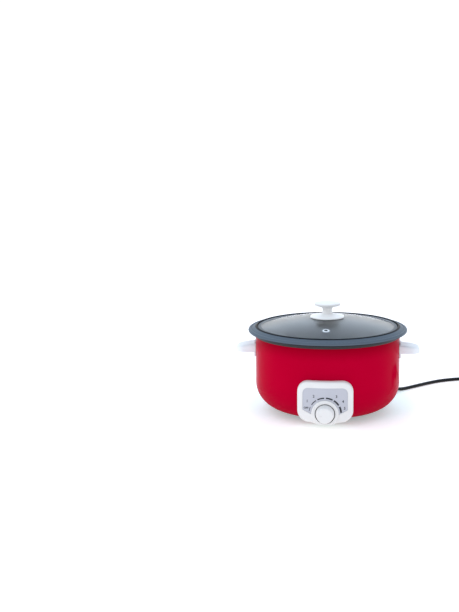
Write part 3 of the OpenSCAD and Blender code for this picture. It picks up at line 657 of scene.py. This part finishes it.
lug = block("handle_right_lug", [(124, -22), (166.5, -22, 16), (166.5, 22, 16), (124, 22)], 108.5, 126, "Z")
sloped(lug, 0.1243)
round_edges(lug, 4.4, 6, lambda e: all(v.co.z > 0.112 for v in e.verts) and free(e))
round_edges(lug, 1.2, 3, lambda e: all(v.co.z < 0.1086 for v in e.verts) and free(e))
inner = block("inner", [(139.8, -19), (163.5, -19, 13), (163.5, 19, 13), (139.8, 19)], 100, 122, "Z")
sloped(inner, 0.1213)
cut(lug, inner)
root = block("root", [(-20.5, 99.5, 6), (20.5, 99.5, 6), (20.5, 126.5, 6), (-20.5, 126.5, 6)], 120, 140, "X")
sheet_line = [(100, 90), (133.8, 90), (133.8, 140), (100, 140), (100, 90)]
cut(root, turned("sheet", sheet_line, (0, 0, 0), steps=240), "INTERSECT")
cut(lug, root, "UNION")
cut(lug, turned("shell_round", [(0, 80), (131.3, 80), (131.3, 150), (0, 150)], (0, 0, 0), steps=240))
for across in (-12.5, 12.5):
    cut(lug, rod(2, 121, 137.5, (0, across, 116), (1, 0, 0)))
done(lug, white_plastic, "white_plastic", "base", "handle_right")
twin = placed("handle_left_lug", lug.data.copy())
twin.data.transform(Matrix.Diagonal((-1, 1, 1, 1)))
twin.data.flip_normals()
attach(twin, "base")
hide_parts("handle_left")

# The pan is spun aluminium: bare and lathe-ringed outside, with a non-stick coat
# that is nearly black inside and blue-grey on the flange. Painted shade blackens the
# flange's inner lip, for the gap round the lid's band, and the underside of its edge.
pan_coating = Finish("pan_coating", IOR=1.1)
x, y, z = pan_coating.axes()
radius = pan_coating.radius()
inner_corner = ((radius - 0.0875).most(0) ** 2 + (0.107 - z).most(0) ** 2).root()
inside = (1 - inner_corner.above(0.032, 0.0003)) * z.above(0.0755, 0.0002)
coated = inside.most(z.above(0.1455, 0.0003))
flange = radius.above(0.131, 0.001)
# Painted shade: the lip's top and inner wall, which lie in shade round the lid's band.
lip_gap_shade = z.above(0.1556, 0.0004) * (1 - radius.above(0.1315, 0.0004))
# Painted shade under the flange's edge; the same mask also blackens the inside below it.
black_inside_and_edge_shade = 1 - z.above(0.148, 0.0007)
speck = pan_coating.noise(1100, 2)
cloud = pan_coating.noise(16, 3)
rings = (radius * 4200).wave()
coat = pan_coating.blend(speck.above(0.66, 0.05), (0.02, 0.032, 0.056), (0.026, 0.04, 0.068))
coat = pan_coating.blend(flange, coat, (0.102, 0.13, 0.16))
coat = pan_coating.blend(lip_gap_shade.most(black_inside_and_edge_shade), coat, (0.003, 0.004, 0.006))
bare = pan_coating.blend(cloud, (0.6, 0.61, 0.62), (0.72, 0.73, 0.74))
pan_coating.feed(Base_Color=pan_coating.blend(coated, bare, coat),
                 Metallic=1 - coated * 0.9,
                 Roughness=cloud.spread(0.3, 0.4) + (1 - coated) * 0.04,
                 Normal=pan_coating.bump(speck * coated * 0.05 + rings * (1 - coated), 0.00005, 0.5))
wear(pan_coating, "cooking_pan")

# The lid is domed toughened glass in a rolled steel band with a dark seal, and has
# a steel vent. A third of the glass is hazed, because clear glass alone renders
# with grain. Under the knob are a black washer and a gasket of silicone.
GLASS = {"IOR": 1.2, "Alpha": 0.9, "Transmission Weight": 1, "Specular Tint": (0.86, 0.93, 1, 1)}
HAZED, HAZE_ROUGHNESS = 0.34, 0.29
lid_glass = Finish("lid_glass", **GLASS)
smear = lid_glass.noise(18, 4, 0.6)
tint = lid_glass.blend(smear, (0.9, 0.95, 0.98), (0.94, 0.98, 1.0))
lid_glass.feed(Base_Color=tint, Roughness=smear.above(0.62, 0.2).spread(0.0, 0.035))
clear = Value(lid_glass, lid_glass.shader.outputs[0])
haze = lid_glass.node("BsdfPrincipled", {}, {**GLASS, "Base Color": tint, "Roughness": HAZE_ROUGHNESS})
both = lid_glass.node("MixShader", {}, {0: HAZED, 1: clear, 2: haze})
lid_glass.tree.links.new(both.socket, lid_glass.tree.nodes["Material Output"].inputs["Surface"])
wear(lid_glass, "lid_glass")
band_steel = Finish("band_steel")
streak = band_steel.noise(40, 4, 0.6, band_steel.stretched(1, 1, 30))
seal = band_steel.radius().above(0.1205, 0.0002)
bare = band_steel.blend(streak, (0.2, 0.21, 0.23), (0.27, 0.28, 0.3))
band_steel.feed(Base_Color=band_steel.blend(seal, bare, (0.035, 0.046, 0.058)),
                Metallic=1 - seal,
                Roughness=streak.spread(0.12, 0.22) + seal * 0.3)
wear(band_steel, "lid_band")
VENT_Y = -0.0885
vent_steel = Finish("vent_steel")
# Painted shade: the vent's bore is painted black and not metallic, for the shade inside the hole.
bore_shade = 1 - vent_steel.radius(VENT_Y).above(0.0032, 0.0001)
polish = vent_steel.noise(400, 3)
bare = vent_steel.blend(polish, (0.66, 0.68, 0.7), (0.74, 0.75, 0.77))
vent_steel.feed(Base_Color=vent_steel.blend(bore_shade, bare, (0.004, 0.004, 0.005)),
                Metallic=0.7 - bore_shade * 0.7,
                Roughness=polish.spread(0.3, 0.4))
wear(vent_steel, "vent_grommet")
washer_black = Finish("washer_black", IOR=1.1)
chalk = washer_black.noise(500, 3)
washer_black.feed(Base_Color=washer_black.blend(chalk, (0.003, 0.004, 0.006), (0.007, 0.008, 0.011)),
                  Roughness=chalk.spread(0.7, 0.85))
wear(washer_black, "lid_washer")
silicone = Finish("silicone", IOR=1.42)
mottle = silicone.noise(200, 3)
silicone.feed(Base_Color=silicone.blend(mottle, (0.6, 0.61, 0.62), (0.7, 0.71, 0.72)),
              Roughness=mottle.spread(0.5, 0.65))
wear(silicone, "lid_gasket")

# The lid's knob is two turned-looking mouldings in the white plastic: a foot that
# sits on the glass over a gasket and flares up to a neck, and a round grip on top.
APEX = 172.3
DOME = 424.8
GRIP_TOP = APEX + 26.6
foot_edge = [APEX - DOME + sqrt(DOME ** 2 - r * r) + 0.05 for r in (24.1, 30.8)]
foot_line = rounded([(4.2, APEX + 4), (4.2, APEX + 1.05), (24.1, APEX + 1.05), (24.1, foot_edge[0]),
                     (30.8, foot_edge[1], 0.5), (30.8, APEX + 1.9, 1.7), (17, APEX + 3.6, 14),
                     (9.6, APEX + 6.2), (4.2, APEX + 6.2), (4.2, APEX + 4)], 8)
foot = turned("lid_knob_foot", foot_line, (0, 0, 0), steps=128)
done(foot, white_plastic, "white_plastic", "lid", "knob_seat")
grip_line = rounded([(0, APEX + 14), (2.5, APEX + 14), (2.5, APEX + 6.25), (9.4, APEX + 6.25),
                     (8.6, APEX + 17, 5), (23.4, GRIP_TOP - 5.2, 1.8), (24, GRIP_TOP - 1.3, 1.5),
                     (17, GRIP_TOP - 0.5, 12), (0, GRIP_TOP)], 8)
grip = turned("lid_knob_grip", grip_line, (0, 0, 0), steps=128)
done(grip, white_plastic, "white_plastic", "lid", "knob_grip")

# The studio: pale paper on the table that glows with painted light, weaker and cyan
# round the pot, which paints the pot's shadow and cancels the red light off the base,
# under a bright sky that is cooler above, brighter behind the pot and dimmer to
# the front right. Weak lamps add light from overhead, the left and the front.
FLOOR_SIZE = 60
bpy.ops.object.select_all(action="DESELECT")
bpy.ops.mesh.primitive_plane_add(size=1)
floor = bpy.context.object
floor.name = "floor"
floor.data.transform(Matrix.Diagonal((FLOOR_SIZE, FLOOR_SIZE, 1, 1)))
paper = Finish("paper", Specular_IOR_Level=0.2, Emission_Strength=1)
fibre = paper.noise(300, 4)
# Painted light: the paper's glow, stronger away from the pot and weaker and cyan near it.
far_from_pot_glow = paper.radius(0.05).above(0.168, 0.035)
paper.feed(Base_Color=paper.blend(fibre, (0.84, 0.86, 0.86), (0.87, 0.89, 0.89)),
           Roughness=fibre.spread(0.75, 0.9),
           Emission_Color=paper.blend(far_from_pot_glow, (0.24, 0.37, 0.36), (0.43, 0.38, 0.37)))
floor.data.materials.append(paper.material)
world = bpy.data.worlds.new("studio")
bpy.context.scene.world = world
world.use_nodes = True
nodes, links = world.node_tree.nodes, world.node_tree.links
direction = nodes.new("ShaderNodeTexCoord").outputs["Generated"]
facing = nodes.new("ShaderNodeSeparateXYZ")
links.new(direction, facing.inputs[0])
SKY_COLOURS = ((0.13, (1, 1, 1, 1)), (0.3, (0.78, 0.88, 1.0, 1)), (0.75, (0.78, 0.9, 1.06, 1)))
sky = nodes.new("ShaderNodeValToRGB")
sky.color_ramp.elements.new(0.3)
for stop, (at, colour) in zip(sky.color_ramp.elements, SKY_COLOURS):
    stop.position = at
    stop.color = colour
links.new(facing.outputs["Z"], sky.inputs[0])
links.new(sky.outputs[0], nodes["Background"].inputs["Color"])
front_right = nodes.new("ShaderNodeVectorMath")
front_right.operation = "DOT_PRODUCT"
front_right.inputs[1].default_value = (0.6, -0.8, 0)
links.new(direction, front_right.inputs[0])
parts = {}
for name, source, values in (("side", front_right.outputs["Value"], (-0.1, 1, 0, -0.35)),
                             ("behind", facing.outputs["Y"], (0.1, 0.7, 0, 0.6)),
                             ("raised", facing.outputs["Z"], (0.12, 0.28, 0, 1))):
    part = nodes.new("ShaderNodeMapRange")
    for key, value in zip(("From Min", "From Max", "To Min", "To Max"), values):
        part.inputs[key].default_value = value
    links.new(source, part.inputs["Value"])
    parts[name] = part.outputs[0]
SKY_STRENGTH = 1.06
change = nodes.new("ShaderNodeMath")
links.new(parts["side"], change.inputs[0])
links.new(parts["behind"], change.inputs[1])
strength = nodes.new("ShaderNodeMath")
strength.operation = "MULTIPLY_ADD"
links.new(change.outputs[0], strength.inputs[0])
links.new(parts["raised"], strength.inputs[1])
strength.inputs[2].default_value = SKY_STRENGTH
links.new(strength.outputs[0], nodes["Background"].inputs["Strength"])
LIT_POINT = Vector((0, 0, 0.1))
for name, place, size, power in (("overhead", (-0.2, 0.1, 2.4), 2.0, 3),
                                 ("left_side", (-2.2, -0.8, 1.2), 1.2, 4),
                                 ("front_high", (-0.6, -1.5, 2.1), 0.9, 2)):
    lamp = placed(name, bpy.data.lights.new(name, "AREA"))
    lamp.data.size = size
    lamp.data.energy = power
    lamp.location = place
    lamp.rotation_euler = (LIT_POINT - lamp.location).to_track_quat("-Z", "Y").to_euler()
bpy.context.scene.view_settings.view_transform = "Standard"
